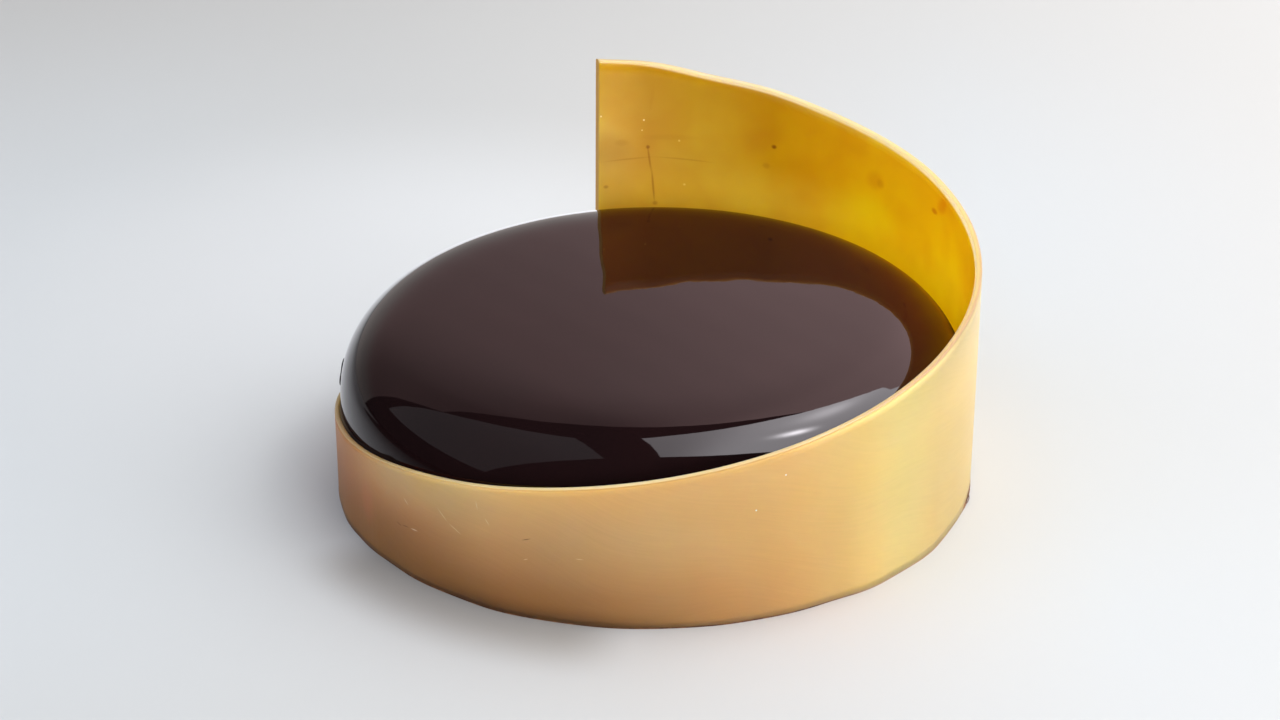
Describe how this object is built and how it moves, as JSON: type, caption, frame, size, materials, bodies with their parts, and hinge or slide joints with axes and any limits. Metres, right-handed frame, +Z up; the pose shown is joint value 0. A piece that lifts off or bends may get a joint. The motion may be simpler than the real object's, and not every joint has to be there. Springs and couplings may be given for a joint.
{
  "type": "mousse cake",
  "caption": "Round glazed mousse cake with a rounded shoulder, wrapped in a golden chocolate band that rises from a low tail to a tall upright end at the back.",
  "frame": {"origin": "on the cake's axis, at the centre of its underside", "axes": "+Z up; -Y the front, where the band is half its full height; +Y the back, where the band's tall cut end stands; +X the right"},
  "size_m": [0.1865, 0.1876, 0.0941],
  "materials": {
    "cocoa_glaze": "wet gloss",
    "golden_chocolate": "satin with a fine lustre dust"
  },
  "bodies": {
    "root": {"mousse_cake": "cocoa_glaze", "chocolate_band": "golden_chocolate"}
  },
  "joints": []
}
